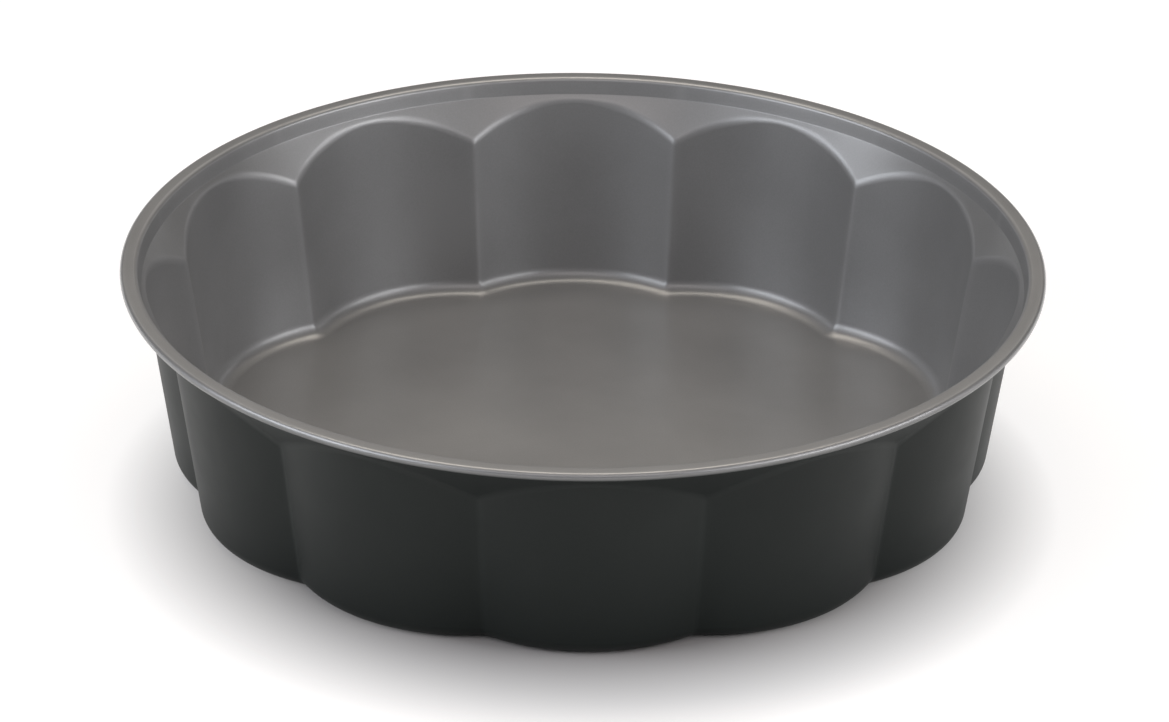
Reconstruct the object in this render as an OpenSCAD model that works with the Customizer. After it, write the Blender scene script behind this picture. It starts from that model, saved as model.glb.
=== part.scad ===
// Brioche mould: a round fluted baking mould pressed from one sheet of steel.
// Its wall is a ring of lobes that lean outwards. Above them a sloping ledge leads
// to an upright band, and the band's edge is rolled outwards over a wire.
// A grey non-stick coat covers the inside and the rim, and a dark coat the outside.
// The origin is the centre of the foot, on the table, and +Z points out of the mouth.
// The first lobe faces -Y. Lengths are in millimetres and angles in degrees.

/* [Overall] */
// Diameter over the rolled rim
rim_d = 280; // [240:1:340]
// Height from the table to the top of the rim
height = 68; // [50:0.5:90]

/* [Lobed wall] */
// Number of lobes round the wall
lobe_count = 12; // [8:1:16]
// Radius of a lobe seen from above, at the floor
lobe_r = 52.7; // [40:0.1:70]
// Lean of the wall from upright
draft = 8; // [2:0.5:14]
// Rounding of the ridge between two lobes, on the inside
ridge_r = 3; // [1:0.1:6]
// Rounding between the wall and the floor, on the inside
foot_r = 5.5; // [2:0.5:12]

/* [Ledge and band] */
// Width of the ledge above the middle of a lobe
ledge_w = 0.9; // [0.5:0.1:4]
// Slope of the ledge from level
ledge_slope = 56; // [40:1:65]
// Rounding of the arch between a lobe and the ledge, on the inside
arch_r = 8; // [1:0.5:12]
// Height of the band, from its foot to the top of the rim
band_h = 5.2; // [4:0.1:12]
// Lean of the band from upright
band_draft = 14; // [5:0.5:20]
// Rounding between the ledge and the band, on the inside
band_r = 1; // [0.6:0.1:2]

/* [Rolled rim] */
// Width of the rim, from the band to its outer edge
rim_w = 5.1; // [4.6:0.1:8]
// Rounding between the band and the top of the rim, on the inside
rim_r = 1.5; // [1:0.1:3.5]
// Angle through which the edge is rolled round the wire
roll = 270; // [210:5:280]
// Diameter of the wire in the rim
wire_d = 1.3; // [1:0.1:2]
// Clearance between the wire and the sheet round it
wire_gap = 0.25; // [0.2:0.05:0.5]

/* [Sheet and coats] */
// Thickness of the steel sheet
sheet_t = 0.4; // [0.3:0.05:0.8]
// Thickness of the non-stick coat inside
inner_coat_t = 0.05; // [0.03:0.01:0.1]
// Thickness of the coat outside
outer_coat_t = 0.05; // [0.03:0.01:0.1]

/* [Hidden] */

// Steps of a lobe's curve, from its middle to the start of a ridge
lobe_steps = 3;
// Steps of each rounding along the profile
foot_steps = 4;
arch_steps = 3;
band_steps = 1;
rim_steps = 3;
roll_steps = 6;
// Sides of the wire's circle and of the ring that it forms
wire_sides = 24;
ring_sides = 360;
// Share of a side's length that one rounding may take
side_share = 0.48;
// Halvings that find where the wall meets the ledge
halvings = 24;

// Depths below the visible face of the cavity, at which the layers start and end
sheet_top = inner_coat_t;
sheet_back = sheet_top + sheet_t;
wall_t = sheet_back + outer_coat_t;

// Heights of the floor's visible face and of the band's foot
floor_z = wall_t;
band_z = height - band_h;
// Radii of the cavity at the top and at the foot of the band
band_top = rim_d / 2 - rim_w;
band_foot = band_top - band_h * tan(band_draft);
// Outer radius of the roll, and the place of the wire inside it
roll_r = wire_d / 2 + wire_gap + sheet_back;
wire_ring = rim_d / 2 - roll_r;
wire_z = height - roll_r;

// Angle of half a lobe, and how far each lobe's centre is from the mould's axis
half = 180 / lobe_count;
lobe_off = band_foot - ledge_w - (band_z - floor_z) * tan(draft) - lobe_r;

// Where the roundings start and end in a column of the profile
foot_rows = foot_steps + 1;
arch_rows = foot_rows + arch_steps + 1;
band_rows = arch_rows + band_steps + 1;
rim_rows = band_rows + rim_steps + 1;
all_rows = rim_rows + roll_steps + 1;

// Distance from the axis to the centre of a ridge's rounding, where a lobe has radius a
function ridge_off(a) =
    lobe_off * cos(half) + sqrt(pow(a + ridge_r, 2) - pow(lobe_off * sin(half), 2));

// Radius of a lobe at a height z
function lobe_at(z) = lobe_r + (z - floor_z) * tan(draft);

// Angle from a lobe's middle at which its curve runs into the ridge's rounding, on the
// outline that lies inset within a wall whose lobes have radius a
function ridge_start(a, inset) =
    let (
        off = ridge_off(a),
        share = (a - inset) / (a + ridge_r),
        x = lobe_off + (off * cos(half) - lobe_off) * share,
        y = off * sin(half) * share
    )
    atan2(y, x);

// That outline at an angle u from a lobe's middle: its radius from the mould's axis, and
// how much the radius shrinks for each millimetre of inset
function outline(u, a, inset) =
    let (
        off = ridge_off(a),
        on_lobe = u < ridge_start(a, inset),
        far = on_lobe ? lobe_off : off,
        v = on_lobe ? u : half - u,
        bend = on_lobe ? a - inset : ridge_r + inset,
        reach = sqrt(pow(bend, 2) - pow(far * sin(v), 2))
    )
    [far * cos(v) + (on_lobe ? reach : -reach), bend / reach];

// Radius of the cavity's wall at an angle u from a lobe's middle and a height z
function wall_at(u, z) = outline(u, lobe_at(z), 0)[0];

// Radius of the ledge's cone at a height z
function ledge_at(z) = band_foot - (band_z - z) / tan(ledge_slope);

// Height at which the wall meets the ledge, found by halving the span between low and high
function meeting(u, low, high, n) =
    let (mid = (low + high) / 2)
    n == 0 ? mid
    : ledge_at(mid) > wall_at(u, mid) ? meeting(u, low, mid, n - 1)
    : meeting(u, mid, high, n - 1);

// Points of an arc that starts at p with a heading and turns by an angle, as [r, z, heading]
function arc(p, heading, turn, radius, steps) =
    let (
        way = sign(turn) * radius,
        c = p + way * [-sin(heading), cos(heading)]
    )
    [for (i = [0 : steps])
        let (h = heading + turn * i / steps)
        [c.x + way * sin(h), c.y - way * cos(h), h]];

// The rounding of corner q between its neighbours p and s
function rounding(p, q, s, radius, steps) =
    let (
        h0 = atan2(q.y - p.y, q.x - p.x),
        turn = atan2(s.y - q.y, s.x - q.x) - h0,
        slant = tan(abs(turn) / 2),
        reach = min(radius * slant, side_share * min(norm(q - p), norm(s - q))),
        start = q - reach * [cos(h0), sin(h0)]
    )
    arc(start, h0, turn, reach / slant, steps);

// The rounding of the foot in a plane square to the wall, as [outwards, height, heading].
// It starts on the floor, and the sharp corner that it rounds is at 0.
foot_turn = 90 - draft;
foot_arc = arc([-foot_r * tan(foot_turn / 2), floor_z], 0, foot_turn, foot_r, foot_steps);
foot_end = foot_arc[foot_steps];

// The same rounding in the column at an angle u from a lobe's middle: the outline lies
// inset by as much as the arc, and the heading allows for the slant between the two planes
function foot_at(u) =
    [for (p = foot_arc)
        let (o = outline(u, lobe_at(foot_end.y), foot_end.x - p.x))
        [o[0], p.y, atan2(sin(p[2]), o[1] * cos(p[2]))]];

// The cavity's profile at an angle u from a lobe's middle, from the floor to the rolled edge
function profile(u) =
    let (
        foot = foot_at(u),
        z = meeting(u, floor_z, band_z, halvings),
        arch = [ledge_at(z), z],
        band = [band_foot, band_z],
        rim = [band_top, height],
        edge = [rim_d / 2, height]
    )
    concat(
        foot,
        rounding([foot[foot_steps][0], foot_end.y], arch, band, arch_r, arch_steps),
        rounding(arch, band, rim, band_r, band_steps),
        rounding(band, rim, edge, rim_r, rim_steps),
        arc([wire_ring, height], 0, -roll, roll_r, roll_steps)
    );

// Angles of the columns in half a lobe: even steps to the ridge's rounding, then its middle
ridge_u = ridge_start(lobe_r, 0);
angles = concat([for (i = [0 : lobe_steps]) ridge_u * i / lobe_steps], [half]);
last = len(angles) - 1;
profiles = [for (u = angles) profile(u)];

// Unit normal of the visible face at column i and row j, along the radius, sideways and up.
// The change from column to column is taken between the neighbours, and is none where
// the shape mirrors itself.
function normal(i, j) =
    let (
        mirrored = i == 0 || i == last,
        a = profiles[max(i - 1, 0)][j],
        b = profiles[min(i + 1, last)][j],
        span = (angles[min(i + 1, last)] - angles[max(i - 1, 0)]) * PI / 180,
        dr = mirrored ? 0 : (b[0] - a[0]) / span,
        dz = mirrored ? 0 : (b[1] - a[1]) / span,
        p = profiles[i][j],
        n = [-p[0] * sin(p[2]), dr * sin(p[2]) - dz * cos(p[2]), p[0] * cos(p[2])]
    )
    n / norm(n);

normals = [for (i = [0 : last]) [for (j = [0 : all_rows - 1]) normal(i, j)]];

// Point of column i (negative on a lobe's other side) and row j, at a depth below the face
function point(lobe, i, j, depth) =
    let (
        k = abs(i),
        side = i < 0 ? -1 : 1,
        p = profiles[k][j],
        n = normals[k][j],
        r = p[0] - depth * n[0],
        s = -side * depth * n[1],
        turn = -90 + 2 * half * lobe + side * angles[k]
    )
    [r * cos(turn) - s * sin(turn), r * sin(turn) + s * cos(turn), p[1] - depth * n[2]];

// Two triangles of a four-sided patch. The diagonal is mirrored on the two sides of a lobe,
// and layers that lie on each other share it.
function patch(a, b, c, d, flip) = flip ? [[a, b, c], [a, c, d]] : [[a, b, d], [b, c, d]];

// A layer of the wall between two depths, over the first rows of the profile
module layer(near, far, rows) {
    columns = [for (lobe = [0 : lobe_count - 1]) for (i = [-last : last - 1]) [lobe, i]];
    n = len(columns);
    deep = 2 * rows;
    places = concat(
        [for (c = columns) each concat(
            [for (j = [0 : rows - 1]) point(c[0], c[1], j, near)],
            [for (j = [rows - 1 : -1 : 0]) point(c[0], c[1], j, far)]
        )],
        [[0, 0, floor_z - near], [0, 0, floor_z - far]]
    );
    sides = [for (c = [0 : n - 1]) for (j = [0 : deep - 2])
        let (
            d = (c + 1) % n,
            mirrored = columns[c][1] < 0,
            behind = j >= rows
        )
        each patch(c * deep + j, d * deep + j, d * deep + j + 1, c * deep + j + 1, mirrored != behind)];
    floors = [for (c = [0 : n - 1])
        let (d = (c + 1) % n)
        each [[n * deep, d * deep, c * deep],
              [n * deep + 1, c * deep + deep - 1, d * deep + deep - 1]]];
    polyhedron(places, concat(sides, floors), convexity = 6);
}

// The steel sheet, pressed into floor, lobes, ledge and band, and rolled over the wire
module pressed_shell() {
    color("#8d9093") layer(sheet_top, sheet_back, all_rows);
}

// The ring of steel wire that stiffens the rim
module rim_wire() {
    color("#b0b3b6")
    rotate_extrude($fn = ring_sides)
    translate([wire_ring, wire_z])
    circle(d = wire_d, $fn = wire_sides);
}

// The grey non-stick coat of the inside, which goes over the rim to the rolled edge
module inner_coating() {
    color("#6b6c6e") layer(0, sheet_top, all_rows);
}

// The dark coat of the outside, which goes up the band to the underside of the rim
module outer_coating() {
    color("#2c2f2e") layer(sheet_back, wall_t, rim_rows);
}

pressed_shell();
rim_wire();
inner_coating();
outer_coating();
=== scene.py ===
# %% [markdown]
# # A fluted brioche mould
# The mould is one disc of thin steel, pressed into a flat floor, twelve lobes that lean
# outwards, a sloping ledge, an upright band and a rolled rim with a wire inside. A grey
# non-stick coat covers the inside and the rim, and a near-black coat covers the outside.
#
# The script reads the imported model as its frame, draws the sheet and its two coats again as
# smooth surfaces in the same place, and gives every layer the finish of the real one.

# %% Load the frame
from math import pi, radians, tan

import bpy
import numpy as np
from mathutils import Matrix, Vector


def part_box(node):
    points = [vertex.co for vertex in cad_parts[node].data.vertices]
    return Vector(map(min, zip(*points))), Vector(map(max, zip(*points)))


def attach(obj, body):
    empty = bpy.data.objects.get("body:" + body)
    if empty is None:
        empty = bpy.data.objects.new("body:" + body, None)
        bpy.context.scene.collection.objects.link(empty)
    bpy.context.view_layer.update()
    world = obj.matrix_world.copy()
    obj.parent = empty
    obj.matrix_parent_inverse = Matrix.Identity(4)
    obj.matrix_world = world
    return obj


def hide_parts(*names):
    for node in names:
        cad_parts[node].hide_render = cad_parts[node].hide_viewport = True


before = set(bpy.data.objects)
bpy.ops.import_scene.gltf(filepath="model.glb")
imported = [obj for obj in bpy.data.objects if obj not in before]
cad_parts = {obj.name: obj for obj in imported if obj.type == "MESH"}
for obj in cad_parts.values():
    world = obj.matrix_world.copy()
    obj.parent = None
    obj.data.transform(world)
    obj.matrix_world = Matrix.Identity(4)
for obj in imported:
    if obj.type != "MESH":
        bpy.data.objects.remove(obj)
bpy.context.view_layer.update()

# %% [markdown]
# ## Sizes that the frame gives
# A new surface has to lie exactly where the frame's solids lie, so what they can tell is
# read off them and not typed again. The layers lie on each other, so the steps between the
# tops and between the bottoms of their boxes are their thicknesses. The wire's box gives the
# roll of sheet that goes round it.

# %% Read the thicknesses and the roll off the frame
MM = 0.001
sheet_low, sheet_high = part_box("pressed_shell")
inside_low, inside_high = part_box("inner_coating")
outside_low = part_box("outer_coating")[0]
wire_low, wire_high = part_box("rim_wire")

rim_radius = inside_high.x
height = inside_high.z
sheet_top = height - sheet_high.z
sheet_back = sheet_top + inside_low.z - sheet_low.z
wall = sheet_back + sheet_low.z - outside_low.z
floor_height = outside_low.z + wall
roll_radius = height - (wire_high.z + wire_low.z) / 2
roll_ring = rim_radius - roll_radius
print(f"sheet from {sheet_top / MM:.2f} to {sheet_back / MM:.2f} mm below the visible face,",
      f"wall {wall / MM:.2f} mm, roll {roll_radius / MM:.2f} mm in radius")

# %% [markdown]
# ## Sizes of the pressing
# These are the driving sizes of the pressing tool. They are the same real sizes that the
# solids have, and everything else in the shape is worked out from them.

# %% Set the sizes of the pressing
LOBES = 12
LOBE_RADIUS = 52.7 * MM
DRAFT = radians(8)
RIDGE_RADIUS = 3 * MM
FOOT_RADIUS = 5.5 * MM
LEDGE_WIDTH = 0.9 * MM
LEDGE_SLOPE = radians(56)
ARCH_RADIUS = 8 * MM
BAND_HEIGHT = 5.2 * MM
BAND_DRAFT = radians(14)
BAND_RADIUS = 1 * MM
RIM_WIDTH = 5.1 * MM
RIM_BEND = 1.5 * MM
ROLL = radians(270)
SIDE_SHARE = 0.48

half = pi / LOBES
band_foot_height = height - BAND_HEIGHT
band_top = rim_radius - RIM_WIDTH
band_foot = band_top - BAND_HEIGHT * tan(BAND_DRAFT)
lobe_reach = band_foot - LEDGE_WIDTH - (band_foot_height - floor_height) * tan(DRAFT)
lobe_offset = lobe_reach - LOBE_RADIUS
print(f"a lobe's centre is {lobe_offset / MM:.2f} mm from the axis")

# %% [markdown]
# ## The wall seen from above
# Cut level, the wall is a ring of arcs: a lobe bulges outwards, and between two lobes a small
# arc turns the other way and makes a ridge. The ring could be drawn point by point, but two
# circles that touch say it all. Their centres are as far apart as their radii together, and
# that distance places the ridge's centre. An outline that lies further in keeps both centres:
# its lobes shrink by the inset and its ridges grow by it, which is how a rounding of constant
# radius follows a fluted wall.

# %% Work out the outline of the wall
def ridge_distance(lobe):
    """Distance from the axis to the centre of a ridge: the lobe's centre seen along the
    ridge's line, plus the root of the two radii's sum squared less the offset across it squared."""
    across = lobe_offset * np.sin(half)
    return lobe_offset * np.cos(half) + np.sqrt((lobe + RIDGE_RADIUS) ** 2 - across ** 2)


def ridge_start(lobe, inset):
    """Angle from the lobe's middle at which lobe and ridge touch: the point that divides the
    line between the two centres in the ratio of their radii."""
    far = ridge_distance(lobe)
    share = (lobe - inset) / (lobe + RIDGE_RADIUS)
    along = lobe_offset + (far * np.cos(half) - lobe_offset) * share
    return np.arctan2(far * np.sin(half) * share, along)


def outline(u, lobe, inset=0.0):
    """Radius at an angle u from a lobe's middle, and how fast it shrinks with the inset. A circle
    seen from outside its centre: the centre's distance times the cosine, plus (lobe) or minus
    (ridge) the root of its radius squared less the centre's offset squared."""
    on_lobe = u < ridge_start(lobe, inset)
    far = np.where(on_lobe, lobe_offset, ridge_distance(lobe))
    angle = np.where(on_lobe, u, half - u)
    bend = np.where(on_lobe, lobe - inset, RIDGE_RADIUS + inset)
    reach = np.sqrt(bend ** 2 - (far * np.sin(angle)) ** 2)
    return far * np.cos(angle) + np.where(on_lobe, reach, -reach), bend / reach


def lobe_at(z):
    """Radius of a lobe at a height: it grows from the floor by the tangent of the draft."""
    return LOBE_RADIUS + (z - floor_height) * np.tan(DRAFT)


def ledge_at(z):
    """Radius of the ledge at a height: a cone through the foot of the band."""
    return band_foot - (band_foot_height - z) / np.tan(LEDGE_SLOPE)


print(f"floor: lobes reach {outline(0.0, LOBE_RADIUS)[0] / MM:.1f} mm,",
      f"ridges {outline(half, LOBE_RADIUS)[0] / MM:.1f} mm from the axis")

# %% [markdown]
# ## Columns
# The whole mould is one lobe repeated, and a lobe is one half and its mirror image, so only
# the columns of a half lobe are worked out. Few are enough along the lobe's wide arc. The
# ridge turns by nearly forty degrees within a few millimetres, so it gets nearly as many again.

# %% Place the columns of half a lobe
LOBE_COLUMNS = 11
RIDGE_COLUMNS = 9
foot_turn = pi / 2 - DRAFT
foot_reach = FOOT_RADIUS * tan(foot_turn / 2)
ridge_from = ridge_start(LOBE_RADIUS, foot_reach)
u = np.concatenate([np.linspace(0, ridge_from, LOBE_COLUMNS + 1)[:-1],
                    np.linspace(ridge_from, half, RIDGE_COLUMNS + 1)])
print(f"{len(u)} columns in half a lobe, {2 * LOBES * (len(u) - 1)} in the ring")

# %% [markdown]
# ## Arcs and straights of the profile
# A column of the profile is a chain of arcs and straights, as on a drawing. Each row holds a
# radius, a height and a heading. The heading is kept because the surface's normal follows
# from it exactly, and the layers are thinner than any error that a guessed normal would make.

# %% Draw arcs, roundings and straights
def arc(start, heading, turn, radius, steps):
    """Rows of an arc. The centre lies square to the heading at the start, and each point is the
    centre plus the radius turned by its share of the turn. All columns are worked out at once."""
    way = np.sign(turn) * radius
    h = heading + turn * np.linspace(0, 1, steps + 1)[:, None]
    r = start[0] - way * np.sin(heading) + way * np.sin(h)
    z = start[1] + way * np.cos(heading) - way * np.cos(h)
    return np.stack(np.broadcast_arrays(r, z, h + 0 * u))


def rounding(before, corner, after, radius, steps):
    """Rows that round a corner: an arc that starts before it by the radius times the tangent of
    half the turn, or by a share of the shorter side where that is less."""
    into = corner[0] - before[0], corner[1] - before[1]
    out = after[0] - corner[0], after[1] - corner[1]
    heading = np.arctan2(into[1], into[0])
    turn = np.arctan2(out[1], out[0]) - heading
    slant = np.tan(np.abs(turn) / 2)
    reach = np.minimum(radius * slant, SIDE_SHARE * np.minimum(np.hypot(*into), np.hypot(*out)))
    start = corner[0] - reach * np.cos(heading), corner[1] - reach * np.sin(heading)
    return arc(start, heading, turn, reach / slant, steps)


def between(first, second, steps):
    """Rows between the end of one stretch and the start of the next, evenly shared."""
    share = np.linspace(0, 1, steps + 2)[1:-1, None]
    return first[:, -1:] * (1 - share) + second[:, :1] * share


# %% [markdown]
# ## Floor and foot
# The sheet leaves the floor in a rounding that has one radius all round when it is cut square
# to the wall. So its rows are the wall's own outline, moved inwards by as much as the arc.
# They turn the ridges into the soft wedges that a real pressing shows at its foot.

# %% Draw the floor and the foot
FOOT_ROWS = 14
FLOOR_SHARES = [0.2, 0.45, 0.7, 0.85, 0.94]

foot_arc = arc((-foot_reach, floor_height), 0.0, foot_turn, FOOT_RADIUS, FOOT_ROWS)
across, up, tilt = foot_arc[:, :, :1]
foot_radius, stretch = outline(u, lobe_at(up[-1]), across[-1] - across)
foot_heading = np.arctan2(np.sin(tilt), stretch * np.cos(tilt))
foot = np.stack(np.broadcast_arrays(foot_radius, up, foot_heading))

shares = np.reshape(FLOOR_SHARES, (-1, 1))
floor = np.stack(np.broadcast_arrays(shares * foot_radius[0], floor_height, 0.0))
print(f"the foot rises {(up[-1, 0] - floor_height) / MM:.2f} mm from the floor")

# %% [markdown]
# ## Wall, ledge, band and roll
# Higher up the rings are true circles. The wall runs up until it meets the cone of the
# ledge, which it does low at a ridge and high at the middle of a lobe, and that gives each
# lobe its arched top. The meeting point has no short formula, so it is found by halving:
# the part of the height that holds it is cut in two until it is far smaller than a grain.

# %% Draw the rest of the profile
HALVINGS = 30
ARCH_STEPS, BAND_STEPS, RIM_STEPS, ROLL_STEPS = 10, 5, 12, 30
WALL_ROWS, LEDGE_ROWS, BAND_ROWS, RIM_ROWS = 8, 3, 2, 2
low, high = floor_height + 0 * u, band_foot_height + 0 * u
for _ in range(HALVINGS):
    middle = (low + high) / 2
    crossed = ledge_at(middle) > outline(u, lobe_at(middle))[0]
    low, high = np.where(crossed, low, middle), np.where(crossed, middle, high)

arch_corner = ledge_at(low), low
band_corner = band_foot, band_foot_height
rim_corner = band_top, height
rim_edge = rim_radius, height

arch_bend = rounding(foot[:2, -1], arch_corner, band_corner, ARCH_RADIUS, ARCH_STEPS)
band_bend = rounding(arch_corner, band_corner, rim_corner, BAND_RADIUS, BAND_STEPS)
rim_bend = rounding(band_corner, rim_corner, rim_edge, RIM_BEND, RIM_STEPS)
roll_bend = arc((roll_ring, height), 0.0, -ROLL, roll_radius, ROLL_STEPS)

body = np.concatenate([floor, foot, between(foot, arch_bend, WALL_ROWS), arch_bend,
                       between(arch_bend, band_bend, LEDGE_ROWS), band_bend,
                       between(band_bend, rim_bend, BAND_ROWS), rim_bend], axis=1)
profile = np.concatenate([body, between(rim_bend, roll_bend, RIM_ROWS), roll_bend], axis=1)
body_rows, rows = body.shape[1], profile.shape[1]
print(f"{rows} rows; the arches rise from {low.min() / MM:.1f} to {low.max() / MM:.1f} mm")

# %% [markdown]
# ## From a face to layers
# Paint and sheet are layers of even thickness, so every layer is the visible face moved
# along its normal. A Solidify modifier would do that from the mesh's own faces. Here the
# heading and the sideways slope give the exact normal, and layers that share it lie face to
# face with nothing between them, as a coat does on its sheet.

# %% Work out the normals
r, z, heading = profile
sideways_r = np.gradient(r, u, axis=1)
sideways_z = np.gradient(z, u, axis=1)
# The first and the last column lie in mirror planes, where nothing slopes sideways.
sideways_r[:, [0, -1]] = 0
sideways_z[:, [0, -1]] = 0
normal = np.stack([-r * np.sin(heading),
                   sideways_r * np.sin(heading) - sideways_z * np.cos(heading),
                   r * np.cos(heading)])
normal /= np.linalg.norm(normal, axis=0)

# The columns of a lobe run from one ridge through its middle to just before the next ridge.
signed = np.concatenate([-u[:0:-1], u[:-1]])
column = np.tile(np.concatenate([np.arange(len(u) - 1, 0, -1), np.arange(len(u) - 1)]), LOBES)
side = np.tile(np.sign(signed), LOBES)
azimuth = (-pi / 2 + 2 * half * np.arange(LOBES)[:, None] + signed).ravel()
ring = len(azimuth)


def skin(depth, first_rows):
    """Points of the face moved down by a depth: radius, sideways step and height each lose the
    depth times their share of the normal, and the azimuth turns them into x and y."""
    n = normal[:, :first_rows, column]
    out = r[:first_rows, column] - depth * n[0]
    aside = -side * depth * n[1]
    return np.stack([out * np.cos(azimuth) - aside * np.sin(azimuth),
                     out * np.sin(azimuth) + aside * np.cos(azimuth),
                     z[:first_rows, column] - depth * n[2]], axis=-1)


# %% [markdown]
# ## Wear and painted highlight
# A coat thins where the sheet bends over a convex edge, and that is where hands, trays and
# cake knives rub it. The paler grey put there also stands for the highlight that such an edge
# catches, so it is partly wear and partly painted highlight. An attribute on the points carries
# that to the materials: it is 1 on the rim, less on the crest of a ridge or an arch, and 0 on
# flat and hollow ground. A ridge is a crest across the columns, so it is added by its distance
# from the ridge's line, on the wall alone.

# %% Measure how convex each point is
# An edge as sharp as the crest radius counts in full, for wear and painted highlight alike.
# A stretch is wall where the sine of its heading is near 1, which means that it runs nearly
# straight up.
CREST_RADIUS = 2.5 * MM
SHORTEST_STEP = 0.01 * MM
RIDGE_SPREAD = radians(0.9)
RIDGE_WEAR_AND_HIGHLIGHT = 0.6
WALL_FROM, WALL_TO = 0.9, 0.98
step = np.hypot(np.gradient(r, axis=0), np.gradient(z, axis=0))
bend = -np.gradient(heading, axis=0) / np.maximum(step, SHORTEST_STEP)
crest = np.clip(bend * CREST_RADIUS, 0, 1)
on_wall = np.clip((np.sin(heading) - WALL_FROM) / (WALL_TO - WALL_FROM), 0, 1)
on_wall[body_rows:] = 0
# Ridges get a share of the wear and painted highlight.
ridge_crest = RIDGE_WEAR_AND_HIGHLIGHT * np.exp(-(((half - u) / RIDGE_SPREAD) ** 2)) * on_wall
wear_and_highlight = np.maximum(crest, ridge_crest)
print(f"{100 * (wear_and_highlight > 0.5).mean():.0f}% of the points lie on a crest")

# %% [markdown]
# ## Overspray and painted shade on the roll
# The dark coat is sprayed from outside and below, and some of it reaches the roll as a fine
# overspray. The same darkening also paints the shade on the roll's lower side, so it is partly
# overspray and partly painted shade. It thins out upwards, so the grey darkens round the roll
# with no sharp line. A second attribute holds how dark a point is painted. It grows in a soft
# step between two angles, which are counted round the roll from its top.

# %% Measure the overspray and painted shade on the roll
# Darkening round the roll: overspray of the dark coat and painted shade.
MIST_AND_SHADE_FROM, MIST_AND_SHADE_TO = radians(50), radians(140)
darkening = np.clip((-roll_bend[2] - MIST_AND_SHADE_FROM) / (MIST_AND_SHADE_TO - MIST_AND_SHADE_FROM), 0, 1)
mist_and_shade = np.zeros((rows, len(u)))
mist_and_shade[-len(darkening):] = darkening ** 2 * (3 - 2 * darkening)
print(f"the mist covers {len(darkening)} rows of the roll")

# %% [markdown]
# ## The meshes
# A layer's two skins are wrapped into one grid, the far one upside down, so its faces point
# outwards on both. The middle of the floor is closed by a fan of triangles on each side.

# %% Build a layer as a closed mesh
SHARP_EDGE = radians(50)


def layer(name, near, far, first_rows):
    """Closed mesh between two depths: near rows from the middle outwards, then far rows back
    to the middle, joined in rings, with a fan round a pole at each end."""
    points = np.concatenate([skin(near, first_rows), skin(far, first_rows)[::-1]])
    poles = [[0, 0, floor_height - near], [0, 0, floor_height - far]]
    count = 2 * first_rows
    i, j = np.meshgrid(np.arange(count - 1), np.arange(ring), indexing="ij")
    after = (j + 1) % ring
    quads = np.stack([i * ring + j, (i + 1) * ring + j, (i + 1) * ring + after, i * ring + after],
                     axis=-1)
    this = np.arange(ring)
    following = (this + 1) % ring
    top, bottom = count * ring, count * ring + 1
    last = (count - 1) * ring
    fans = np.concatenate([np.stack([top + 0 * this, this, following], axis=-1),
                           np.stack([bottom + 0 * this, last + following, last + this], axis=-1)])

    mesh = bpy.data.meshes.new(name)
    mesh.from_pydata(np.concatenate([points.reshape(-1, 3), poles]).tolist(), [],
                     quads.reshape(-1, 4).tolist() + fans.tolist())
    mesh.shade_smooth()
    mesh.set_sharp_from_angle(angle=SHARP_EDGE)
    # These attributes paint colour: wear with a painted highlight on crests, and overspray with
    # painted shade on the roll.
    for label, values in [("wear_and_highlight", wear_and_highlight), ("mist_and_shade", mist_and_shade)]:
        skinned = values[:first_rows, column]
        both = np.concatenate([skinned, skinned[::-1]]).ravel()
        attribute = mesh.attributes.new(label, "FLOAT", "POINT")
        attribute.data.foreach_set("value", np.append(both, [0, 0]).astype(np.float32))
    piece = bpy.data.objects.new(name, mesh)
    bpy.context.scene.collection.objects.link(piece)
    print(f"{name}: {2 * quads.shape[0] * quads.shape[1] + len(fans)} triangles")
    return piece


# %% [markdown]
# ## Sheet, inside coat and outside coat
# The sheet lies in the middle of the wall and follows the whole profile, roll included. The
# grey coat goes over all that is seen from inside and on round the roll. The dark coat stops
# at the underside of the rim, where the roll comes down on the wall.

# %% Make the three layers and let them stand for the frame's solids
sheet = layer("steel_sheet_pressing", sheet_top, sheet_back, rows)
inside = layer("inside_coat", 0.0, sheet_top, rows)
outside = layer("outside_coat", sheet_back, wall, body_rows)

for piece, node, slot in [(sheet, "pressed_shell", "steel_sheet"),
                          (inside, "inner_coating", "nonstick_inside"),
                          (outside, "outer_coating", "dark_coat_outside")]:
    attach(piece, "root")
    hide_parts(node)

# %% [markdown]
# ## Tools for the finishes
# Three helpers are enough for every material. One turns the hex colours that people read off
# a screen into the linear light that a renderer adds up. One puts a node into a tree with its
# settings and its links, whatever kind of node it is. The third makes an empty material.

# %% Colours and nodes
def colour(code):
    """Linear colour of an sRGB hex code: a channel c becomes ((c + 0.055) / 1.055) to the power
    of 2.4, or c / 12.92 where it is very dark."""
    c = np.array([int(code[k:k + 2], 16) for k in (1, 3, 5)]) / 255
    linear = np.where(c <= 0.04045, c / 12.92, ((c + 0.055) / 1.055) ** 2.4)
    return (*linear.tolist(), 1.0)


def add(tree, kind, inputs=None, **settings):
    """A node of a kind: each setting is a property of it, and each input is a value or the
    output of an earlier node, which is then linked to it."""
    node = tree.nodes.new(kind)
    for name, value in settings.items():
        setattr(node, name, value)
    for name, value in (inputs or {}).items():
        if isinstance(value, bpy.types.NodeSocket):
            tree.links.new(value, node.inputs[name])
        else:
            node.inputs[name].default_value = value
    return node


def new_material(name):
    """An empty material and its node tree."""
    material = bpy.data.materials.new(name)
    material.use_nodes = True
    material.node_tree.nodes.clear()
    return material, material.node_tree


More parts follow.
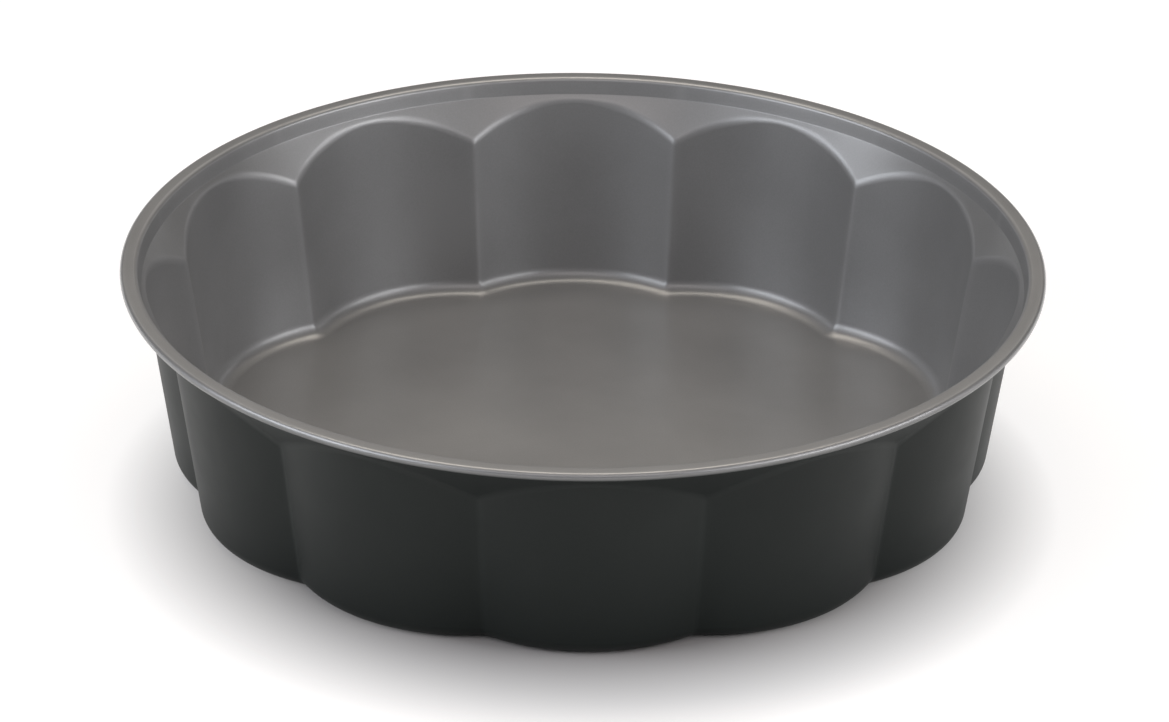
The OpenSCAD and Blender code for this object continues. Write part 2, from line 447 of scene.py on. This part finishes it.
# %% [markdown]
# ## A sprayed coat
# Both coats are plastic films that are sprayed on and baked. Spraying leaves clouds a few
# centimetres wide, where a little more of the coat fell, and a faint orange peel about a
# millimetre across. The pigment gives a grain finer than 0.1 mm, which would not show, so it
# is drawn 0.5 mm coarse. Wiping leaves smears that are a little duller or smoother. All four
# are noise on the piece's own coordinates, which run through sheet and bends with no seam.
# The paler grey on crests, which is slight wear and painted highlight, comes in patches, and
# polishes as it pales.
#
# A coat has three greys: where little fell, where much fell, and the paler one on crests for
# wear and painted highlight.

# %% Describe a sprayed coat
CLOUD, GRAIN, PEEL, PATCH, SMEAR = 45 * MM, 0.5 * MM, 1.2 * MM, 15 * MM, 20 * MM
GRAIN_SHARE = 0.3
NOISE_LOW, NOISE_HIGH = 0.3, 0.7
MIX_LOW, MIX_HIGH = 0.35, 0.65
ROUGHNESS_SPREAD = 0.03
POLISH = 0.08
# Its third grey is the paler crest grey, for wear and painted highlight; its middle grey also
# paints the overspray and shade on the roll.
DARK_COAT = ("#161b19", "#1c211f", "#282d2b")


def sprayed_coat(name, greys, roughness, peel_height, sockets):
    """A sprayed and baked film. Its colour is a mix of a dark and a light grey by cloud and
    grain. On crests it goes towards a paler grey, which is slight wear and a painted highlight,
    and round the roll towards the dark coat, which is overspray and painted shade. The sockets
    are the shader's own values for this coat."""
    dark, light, wear_and_highlight_grey = greys
    material, tree = new_material(name)
    place = add(tree, "ShaderNodeTexCoord").outputs["Object"]
    clouds = add(tree, "ShaderNodeTexNoise", {"Vector": place, "Scale": 1 / CLOUD, "Detail": 3.0})
    grain = add(tree, "ShaderNodeTexNoise", {"Vector": place, "Scale": 1 / GRAIN, "Detail": 1.0})
    both = add(tree, "ShaderNodeMix", {"Factor": GRAIN_SHARE, 2: clouds.outputs["Fac"],
                                       3: grain.outputs["Fac"]}, data_type="FLOAT")
    share = add(tree, "ShaderNodeMapRange", {"Value": both.outputs[0], "From Min": MIX_LOW,
                                             "From Max": MIX_HIGH})
    sprayed = add(tree, "ShaderNodeMix", {"Factor": share.outputs[0], 6: colour(dark),
                                          7: colour(light)}, data_type="RGBA")

    # Crests go towards the third, paler grey: slight wear and a painted highlight.
    crests = add(tree, "ShaderNodeAttribute", attribute_name="wear_and_highlight")
    patches = add(tree, "ShaderNodeTexNoise", {"Vector": place, "Scale": 1 / PATCH, "Detail": 2.0})
    wear_and_highlight_share = add(tree, "ShaderNodeMath", {0: crests.outputs["Fac"], 1: patches.outputs["Fac"]},
               operation="MULTIPLY")
    with_wear_and_highlight = add(tree, "ShaderNodeMix", {"Factor": wear_and_highlight_share.outputs[0], 6: sprayed.outputs[2],
                                        7: colour(wear_and_highlight_grey)}, data_type="RGBA")
    # Round the roll the colour goes towards the dark coat: overspray and painted shade.
    mist_and_shade_node = add(tree, "ShaderNodeAttribute", attribute_name="mist_and_shade")
    seen = add(tree, "ShaderNodeMix", {"Factor": mist_and_shade_node.outputs["Fac"], 6: with_wear_and_highlight.outputs[2],
                                       7: colour(DARK_COAT[1])}, data_type="RGBA")

    smears = add(tree, "ShaderNodeTexNoise", {"Vector": place, "Scale": 1 / SMEAR, "Detail": 4.0})
    rough = add(tree, "ShaderNodeMapRange", {"Value": smears.outputs["Fac"],
                                             "From Min": NOISE_LOW, "From Max": NOISE_HIGH,
                                             "To Min": roughness - ROUGHNESS_SPREAD,
                                             "To Max": roughness + ROUGHNESS_SPREAD})
    polished = add(tree, "ShaderNodeMath", {0: wear_and_highlight_share.outputs[0], 1: -POLISH, 2: rough.outputs[0]},
                   operation="MULTIPLY_ADD")
    peel = add(tree, "ShaderNodeTexNoise", {"Vector": place, "Scale": 1 / PEEL, "Detail": 1.0})
    bumps = add(tree, "ShaderNodeBump", {"Height": peel.outputs["Fac"], "Distance": peel_height})
    film = add(tree, "ShaderNodeBsdfPrincipled", {"Base Color": seen.outputs[2],
                                                  "Roughness": polished.outputs[0],
                                                  "Normal": bumps.outputs[0], **sockets})
    add(tree, "ShaderNodeOutputMaterial", {"Surface": film.outputs[0]})
    return material


# %% [markdown]
# ## Grey non-stick coat
# The inside has a grey PTFE coat with fine metal flakes in it. The film is satin, so every
# bend draws a pale line, and the flakes spread light far to the sides, which gives each lobe
# a soft change from bright to dark. Flakes are a share of metal in the base, and the smooth
# resin over them is the shader's coat.

# %% Spray the inside coat
# The third grey is the paler one on crests: slight wear and a painted highlight.
FLAKE_COAT = ("#868686", "#909090", "#9e9e9e")
nonstick = sprayed_coat("sprayed_grey_nonstick", FLAKE_COAT, roughness=0.46, peel_height=0.002 * MM,
                        sockets={"Metallic": 0.5, "IOR": 1.45, "Coat Weight": 1.0,
                                 "Coat Roughness": 0.24})
inside.data.materials.append(nonstick)
print("inside coat:", nonstick.name)

# %% [markdown]
# ## Dark outside coat
# The outside gets a thin heat-proof lacquer that is nearly black, so that the mould takes
# up the oven's heat. It is duller than the inside and has no flakes, and its peel is a little
# higher.

# %% Spray the outside coat
lacquer = sprayed_coat("sprayed_dark_lacquer", DARK_COAT, roughness=0.48, peel_height=0.003 * MM,
                       sockets={"IOR": 1.45, "Specular IOR Level": 0.3})
outside.data.materials.append(lacquer)
print("outside coat:", lacquer.name)

# %% [markdown]
# ## Steel sheet and wire
# Both steels are hidden, the sheet under its coats and the wire in the roll. They still get
# their own finish, because a reader may take the mould apart. Cold rolled sheet is dull
# satin with fine lines along the rolling direction. Wire drawn through a die is brighter and
# has its lines along the wire, which lies in a level ring, so they are stacked in height.

# %% Finish the bare steels
LINE, STAIN = 1 * MM, 30 * MM
LINE_HEIGHT = 0.004 * MM
SMOOTHER, DULLER = 0.06, 0.08
STAIN_COLOUR = "#a3a5a6"
LINES_ALONG_X = (0.15, 3.0, 3.0)
LINES_IN_RINGS = (0.4, 0.4, 4.0)


def bare_steel(name, base, roughness, lines):
    """Bare steel: a metal whose roughness and height follow noise on stretched coordinates,
    which turns lumps into fine lines. Lines says how many lumps fit in a length along each
    axis, and a line runs where they are few."""
    material, tree = new_material(name)
    place = add(tree, "ShaderNodeTexCoord").outputs["Object"]
    stretched = add(tree, "ShaderNodeMapping", {"Vector": place, "Scale": lines})
    streaks = add(tree, "ShaderNodeTexNoise", {"Vector": stretched.outputs[0], "Scale": 1 / LINE,
                                               "Detail": 3.0})
    stains = add(tree, "ShaderNodeTexNoise", {"Vector": place, "Scale": 1 / STAIN, "Detail": 3.0})
    tint = add(tree, "ShaderNodeMix", {"Factor": stains.outputs["Fac"], 6: colour(base),
                                       7: colour(STAIN_COLOUR)}, data_type="RGBA")
    rough = add(tree, "ShaderNodeMapRange", {"Value": streaks.outputs["Fac"],
                                             "From Min": NOISE_LOW, "From Max": NOISE_HIGH,
                                             "To Min": roughness - SMOOTHER,
                                             "To Max": roughness + DULLER})
    bumps = add(tree, "ShaderNodeBump", {"Height": streaks.outputs["Fac"], "Distance": LINE_HEIGHT})
    metal = add(tree, "ShaderNodeBsdfPrincipled", {"Base Color": tint.outputs[2], "Metallic": 1.0,
                                                   "Roughness": rough.outputs[0],
                                                   "Normal": bumps.outputs[0]})
    add(tree, "ShaderNodeOutputMaterial", {"Surface": metal.outputs[0]})
    return material


rolled = bare_steel("cold_rolled_steel", "#8d9093", roughness=0.34, lines=LINES_ALONG_X)
drawn = bare_steel("drawn_steel_wire", "#b0b3b6", roughness=0.26, lines=LINES_IN_RINGS)
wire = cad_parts["rim_wire"]
wire.data.materials.clear()
sheet.data.materials.append(rolled)
wire.data.materials.append(drawn)
print("steels:", rolled.name, "and", drawn.name)

# %% [markdown]
# ## Table and sweep
# The mould stands on a white table whose far edge curves up into a low wall, like the paper
# sweep of a studio. It is one profile turned round the axis, so every side view has the same
# pale ground behind it. It lies a hair below the mould's foot, because two faces in one plane
# would flicker.

# %% Lay the table
TABLE_RADIUS = 4.0
SWEEP_RADIUS = 0.3
WALL_HEIGHT = 0.45
SWEEP_STEPS = 8
SIDES = 96
BELOW_FOOT = 0.02 * MM

sweep = np.linspace(0, pi / 2, SWEEP_STEPS + 1)
edge_r = np.append(TABLE_RADIUS + SWEEP_RADIUS * np.sin(sweep), TABLE_RADIUS + SWEEP_RADIUS)
edge_z = np.append(SWEEP_RADIUS * (1 - np.cos(sweep)), WALL_HEIGHT) - BELOW_FOOT
turn = 2 * pi * np.arange(SIDES) / SIDES
edge = np.stack([edge_r[:, None] * np.cos(turn), edge_r[:, None] * np.sin(turn),
                 edge_z[:, None] + 0 * turn], axis=-1)
ground = bpy.data.meshes.new("table_top")
i, j = np.meshgrid(np.arange(len(edge_r) - 1), np.arange(SIDES), indexing="ij")
after = (j + 1) % SIDES
rings = np.stack([i * SIDES + j, i * SIDES + after, (i + 1) * SIDES + after, (i + 1) * SIDES + j],
                 axis=-1)
ground.from_pydata(edge.reshape(-1, 3).tolist(), [],
                   rings.reshape(-1, 4)[:, ::-1].tolist() + [list(range(SIDES))])
ground.shade_smooth()
ground.set_sharp_from_angle(angle=SHARP_EDGE)
table_top = bpy.data.objects.new("table_top", ground)
bpy.context.scene.collection.objects.link(table_top)
print("table", 2 * TABLE_RADIUS, "m wide, with a wall", WALL_HEIGHT, "m high")

# %% [markdown]
# ## Table paint
# A white ground in full light would clip, so its paint is a plain grey, and light of its own is
# added that only the camera, mirrors and glass can see. Near the mould there is none, so the
# grey ring there is a painted shadow, laid round the mould's own soft shadow. It grows
# outwards until paint and glow together are white. Its middle is moved towards the camera,
# because the light from behind throws the shadow there, so the painted shadow reaches further
# in front.

# %% Paint the table
TABLE_COLOUR = "#a8a5a4"
# The glow is held back in a ring round the mould and moved towards the camera: a painted shadow on
# the table.
GLOW_FROM, GLOW_TO = 0.096, 0.145
GLOW = 0.75
SHADOW_SHIFT = 0.025
paint, tree = new_material("white_table_paint")
place = add(tree, "ShaderNodeTexCoord").outputs["Object"]
away = add(tree, "ShaderNodeVectorMath", {0: place, 1: (0, -SHADOW_SHIFT, 0)}, operation="DISTANCE")
growth = add(tree, "ShaderNodeMapRange", {"Value": away.outputs["Value"], "From Min": GLOW_FROM,
                                          "From Max": GLOW_TO, "To Max": GLOW})
path = add(tree, "ShaderNodeLightPath").outputs
clear = add(tree, "ShaderNodeMath", {0: path["Is Glossy Ray"], 1: path["Is Transmission Ray"]},
            operation="MAXIMUM")
seen = add(tree, "ShaderNodeMath", {0: path["Is Camera Ray"], 1: clear.outputs[0]},
           operation="MAXIMUM")
glow = add(tree, "ShaderNodeMath", {0: seen.outputs[0], 1: growth.outputs[0]},
           operation="MULTIPLY")
matt = add(tree, "ShaderNodeBsdfPrincipled",
           {"Base Color": colour(TABLE_COLOUR), "Roughness": 0.9, "Specular IOR Level": 0.1,
            "Emission Color": (1, 1, 1, 1), "Emission Strength": glow.outputs[0]})
add(tree, "ShaderNodeOutputMaterial", {"Surface": matt.outputs[0]})
ground.materials.append(paint)
print("table paint:", paint.name)

# %% [markdown]
# ## Light
# The studio has softboxes: white rectangles that the satin coat shows as soft pale bands. A
# softbox is given by where it stands as seen from the mould, how wide and high it is, and how
# bright its face looks, where 1 is white. The power that Blender wants follows from these.
# The room itself gives a low, even light.
#
# Two low strips at the sides draw the bright line along the upper part of the foot and along
# the arches, and a larger and weaker box round each one lights the lobes' flanks. One behind,
# high up, draws the second, thinner line where the foot meets the floor. A weak one under it
# lights the floor and the top of the rim, and one in front lights the ledge at the back.

# %% Hang the softboxes
AIM_HEIGHT = 0.04
LAMP_DISTANCE = 1.5
ROOM_COLOUR = "#3a3a3a"
# name, turn and rise in degrees, width and height in metres, brightness, colour
SOFTBOXES = [
    ("softbox_back", 190, 75, 1.5, 0.6, 3.9, "#fff6ea"),
    ("softbox_low_back", 180, 38, 1.9, 0.6, 0.6, "#fff9f2"),
    ("strip_left", -66, 24, 1.6, 0.5, 3.4, "#f3f7ff"),
    ("softbox_left", -68, 28, 1.1, 1.2, 1.0, "#f3f7ff"),
    ("strip_right", 60, 22, 1.6, 0.5, 3.5, "#fcfcff"),
    ("softbox_right", 64, 26, 1.0, 1.2, 0.7, "#fcfcff"),
    ("softbox_front", 0, 46, 1.1, 0.6, 1.3, "#fff6f6"),
]


def hang_softbox(name, turn, rise, width, tall, brightness, tint):
    """An area lamp aimed at the mould. Turn is its direction seen from above, 0 at the camera's
    side and growing to the right, and rise is its height as an angle. Its power is brightness
    times area times pi."""
    lamp = bpy.data.lights.new(name, "AREA")
    lamp.shape = "RECTANGLE"
    lamp.size, lamp.size_y = width, tall
    lamp.energy = brightness * width * tall * pi
    lamp.color = colour(tint)[:3]
    stand = bpy.data.objects.new(name, lamp)
    bpy.context.scene.collection.objects.link(stand)
    stand.visible_camera = False
    turned = (Matrix.Rotation(radians(turn), 4, "Z")
              @ Matrix.Rotation(pi / 2 - radians(rise), 4, "X"))
    stand.matrix_world = (Matrix.Translation((0, 0, AIM_HEIGHT)) @ turned
                          @ Matrix.Translation((0, 0, LAMP_DISTANCE)))


for softbox in SOFTBOXES:
    hang_softbox(*softbox)

world = bpy.data.worlds.new("plain_room")
world.use_nodes = True
world.node_tree.nodes.clear()
room = add(world.node_tree, "ShaderNodeBackground", {"Color": colour(ROOM_COLOUR)})
add(world.node_tree, "ShaderNodeOutputWorld", {"Surface": room.outputs[0]})
bpy.context.scene.world = world

# %% [markdown]
# ## Camera
# The picture is taken with a long lens, looking down at about 27 degrees. From that far away
# the rings are nearly as wide at the back as at the front. The camera is tipped by its
# elevation, rolled very slightly and moved back along its own axis from the point it aims at.
# The mould had been put down turned by about a degree and a half, so the camera goes round it
# by as much.

# %% Place the camera
LENS_MM = 169.2
SENSOR_MM = 36
DISTANCE = 1.68
FARTHEST = 50
elevation, roll_angle, round_angle = radians(26.79), radians(0.699), radians(-1.6)

view = bpy.data.cameras.new("camera")
view.sensor_width = SENSOR_MM
view.lens = LENS_MM
view.clip_end = FARTHEST
camera = bpy.data.objects.new("camera", view)
bpy.context.scene.collection.objects.link(camera)
tipped = Matrix.Rotation(pi / 2 - elevation, 4, "X") @ Matrix.Rotation(roll_angle, 4, "Z")
aim = Vector((0.78, 0, 33.1)) * MM
camera.matrix_world = (Matrix.Rotation(round_angle, 4, "Z") @ Matrix.Translation(aim) @ tipped
                       @ Matrix.Translation((0, 0, DISTANCE)))
bpy.context.scene.camera = camera
bpy.context.scene.view_settings.view_transform = "Standard"
print("camera at", [round(v, 3) for v in camera.matrix_world.translation])
